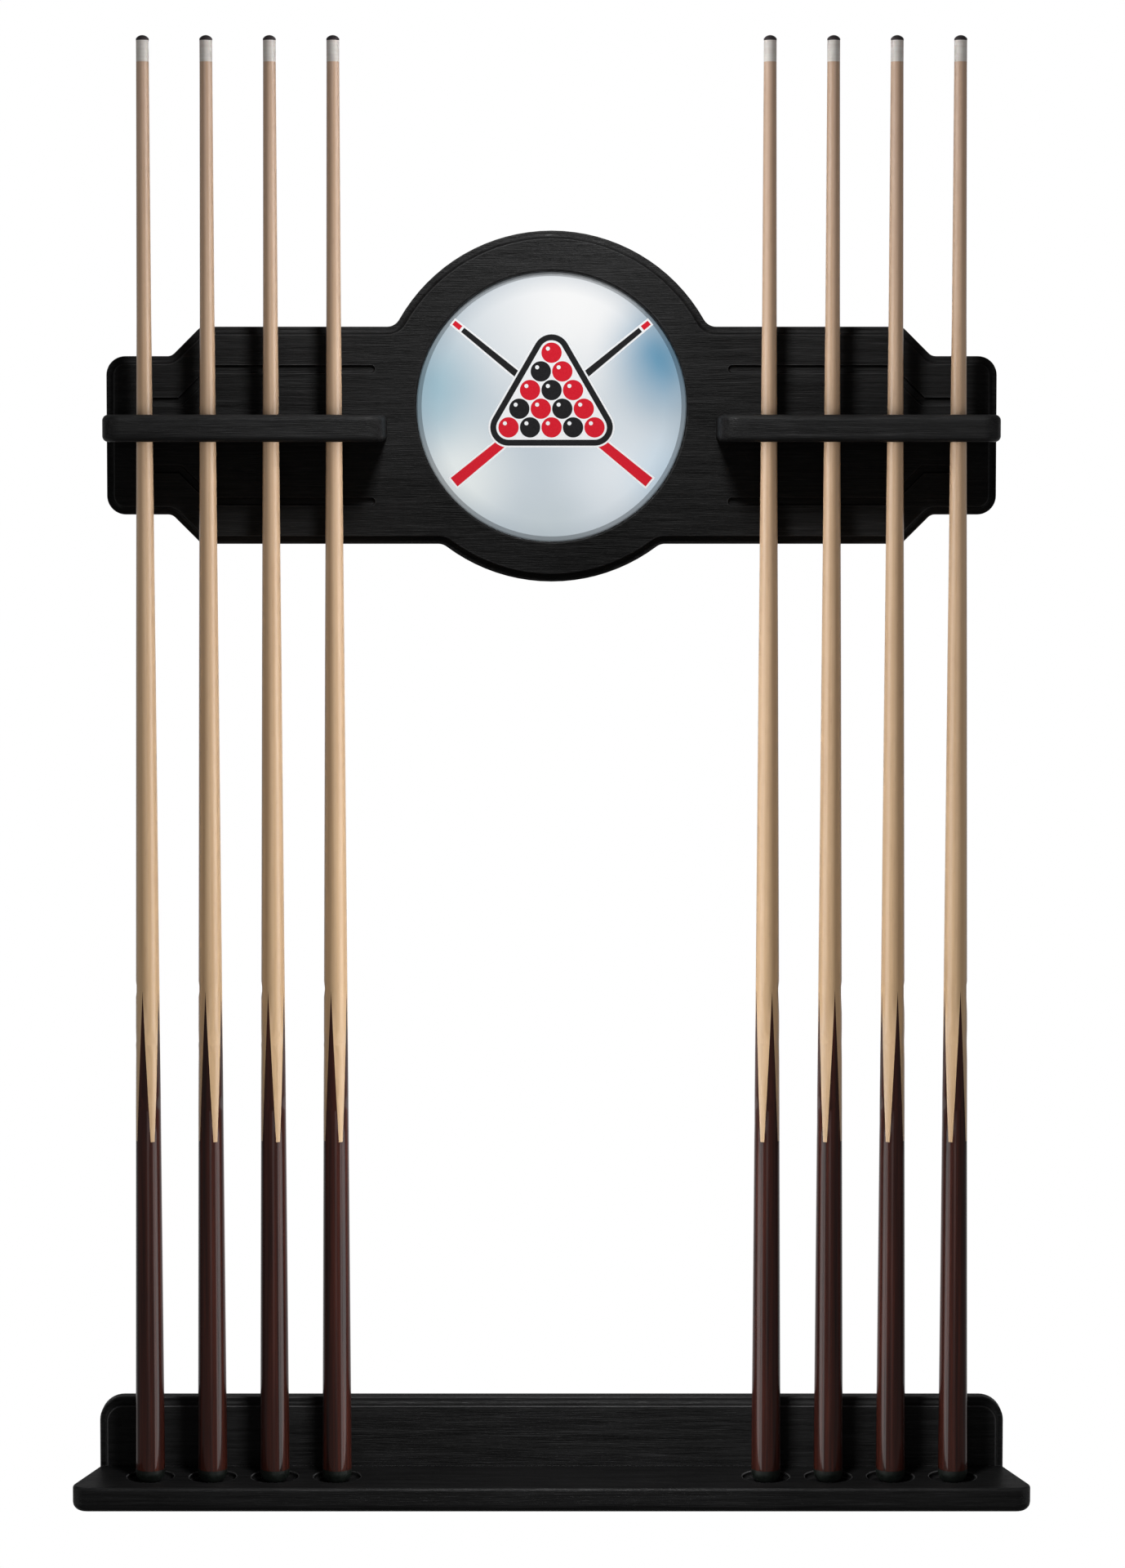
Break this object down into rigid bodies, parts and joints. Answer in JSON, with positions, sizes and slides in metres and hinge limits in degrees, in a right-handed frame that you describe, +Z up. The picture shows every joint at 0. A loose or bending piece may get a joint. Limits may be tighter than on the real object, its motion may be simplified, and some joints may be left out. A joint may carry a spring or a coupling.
{
  "type": "wall cue rack",
  "caption": "Two-piece wall rack for pool cues: an upper board with a round mirror and two holed shelves, a lower board with a cupped shelf, and one-piece cues standing in it.",
  "frame": {"origin": "on the wall plane and the centre line, level with the top of the lower shelf; it lies on the lower board's back face", "axes": "+X to the viewer's right, +Y into the wall, +Z up along the cues"},
  "size_m": [0.9572, 0.101, 1.4671],
  "materials": {
    "black_board_paint": "satin black paint with the horizontal grain showing through",
    "black_shelf_paint": "satin black paint over hardwood",
    "mirror": "bevelled mirror glass with a printed emblem",
    "hardboard": "bare hardboard",
    "zinc_steel": "yellow-tinged zinc plate",
    "plate_steel": "bright zinc plate",
    "beech": "bare fluted dowel",
    "tip_leather": "pressed dark leather, chalk-worn",
    "ferrule_plastic": "satin ivory white",
    "maple": "clear lacquer over straight-grained maple",
    "dark_butt_wood": "gloss lacquer over dark reddish brown wood",
    "bumper_rubber": "smooth black rubber"
  },
  "bodies": {
    "rack": {"upper_board": "black_board_paint", "upper_shelf_left": "black_shelf_paint", "upper_shelf_right": "black_shelf_paint", "upper_shelf_screws": "zinc_steel", "upper_shelf_dowels": "beech", "mirror_glass": "mirror", "mirror_backing": "hardboard", "turn_button_screws": "zinc_steel", "lower_board": "black_board_paint", "lower_shelf": "black_shelf_paint", "lower_shelf_screws": "zinc_steel", "lower_shelf_dowels": "beech", "upper_keyhole_plates": "plate_steel", "lower_keyhole_plates": "plate_steel", "keyhole_plate_screws": "zinc_steel"},
    "turn_button_1": {"turn_button_1": "plate_steel"},
    "turn_button_2": {"turn_button_2": "plate_steel"},
    "turn_button_3": {"turn_button_3": "plate_steel"},
    "turn_button_4": {"turn_button_4": "plate_steel"},
    "cue_1": {"cue_1_tip": "tip_leather", "cue_1_ferrule": "ferrule_plastic", "cue_1_shaft": "maple", "cue_1_butt": "dark_butt_wood", "cue_1_bumper": "bumper_rubber"},
    "cue_2": {"cue_2_tip": "tip_leather", "cue_2_ferrule": "ferrule_plastic", "cue_2_shaft": "maple", "cue_2_butt": "dark_butt_wood", "cue_2_bumper": "bumper_rubber"},
    "cue_3": {"cue_3_tip": "tip_leather", "cue_3_ferrule": "ferrule_plastic", "cue_3_shaft": "maple", "cue_3_butt": "dark_butt_wood", "cue_3_bumper": "bumper_rubber"},
    "cue_4": {"cue_4_tip": "tip_leather", "cue_4_ferrule": "ferrule_plastic", "cue_4_shaft": "maple", "cue_4_butt": "dark_butt_wood", "cue_4_bumper": "bumper_rubber"},
    "cue_5": {"cue_5_tip": "tip_leather", "cue_5_ferrule": "ferrule_plastic", "cue_5_shaft": "maple", "cue_5_butt": "dark_butt_wood", "cue_5_bumper": "bumper_rubber"},
    "cue_6": {"cue_6_tip": "tip_leather", "cue_6_ferrule": "ferrule_plastic", "cue_6_shaft": "maple", "cue_6_butt": "dark_butt_wood", "cue_6_bumper": "bumper_rubber"},
    "cue_7": {"cue_7_tip": "tip_leather", "cue_7_ferrule": "ferrule_plastic", "cue_7_shaft": "maple", "cue_7_butt": "dark_butt_wood", "cue_7_bumper": "bumper_rubber"},
    "cue_8": {"cue_8_tip": "tip_leather", "cue_8_ferrule": "ferrule_plastic", "cue_8_shaft": "maple", "cue_8_butt": "dark_butt_wood", "cue_8_bumper": "bumper_rubber"}
  },
  "joints": [
    {"name": "cue_1_lift", "type": "slide", "parent": "rack", "child": "cue_1", "axis": [0, 0, 1], "range_m": [0, 0.06]},
    {"name": "cue_2_lift", "type": "slide", "parent": "rack", "child": "cue_2", "axis": [0, 0, 1], "range_m": [0, 0.06]},
    {"name": "cue_3_lift", "type": "slide", "parent": "rack", "child": "cue_3", "axis": [0, 0, 1], "range_m": [0, 0.06]},
    {"name": "cue_4_lift", "type": "slide", "parent": "rack", "child": "cue_4", "axis": [0, 0, 1], "range_m": [0, 0.06]},
    {"name": "cue_5_lift", "type": "slide", "parent": "rack", "child": "cue_5", "axis": [0, 0, 1], "range_m": [0, 0.06]},
    {"name": "cue_6_lift", "type": "slide", "parent": "rack", "child": "cue_6", "axis": [0, 0, 1], "range_m": [0, 0.06]},
    {"name": "cue_7_lift", "type": "slide", "parent": "rack", "child": "cue_7", "axis": [0, 0, 1], "range_m": [0, 0.06]},
    {"name": "cue_8_lift", "type": "slide", "parent": "rack", "child": "cue_8", "axis": [0, 0, 1], "range_m": [0, 0.06]},
    {"name": "turn_button_1_swivel", "type": "hinge", "parent": "rack", "child": "turn_button_1", "pos_m": [0.10748, -0.0049, 1.18348], "axis": [0, 1, 0], "range_deg": [-90, 90]},
    {"name": "turn_button_2_swivel", "type": "hinge", "parent": "rack", "child": "turn_button_2", "pos_m": [-0.10748, -0.0049, 1.18348], "axis": [0, 1, 0], "range_deg": [-90, 90]},
    {"name": "turn_button_3_swivel", "type": "hinge", "parent": "rack", "child": "turn_button_3", "pos_m": [-0.10748, -0.0049, 0.96852], "axis": [0, 1, 0], "range_deg": [-90, 90]},
    {"name": "turn_button_4_swivel", "type": "hinge", "parent": "rack", "child": "turn_button_4", "pos_m": [0.10748, -0.0049, 0.96852], "axis": [0, 1, 0], "range_deg": [-90, 90]}
  ]
}
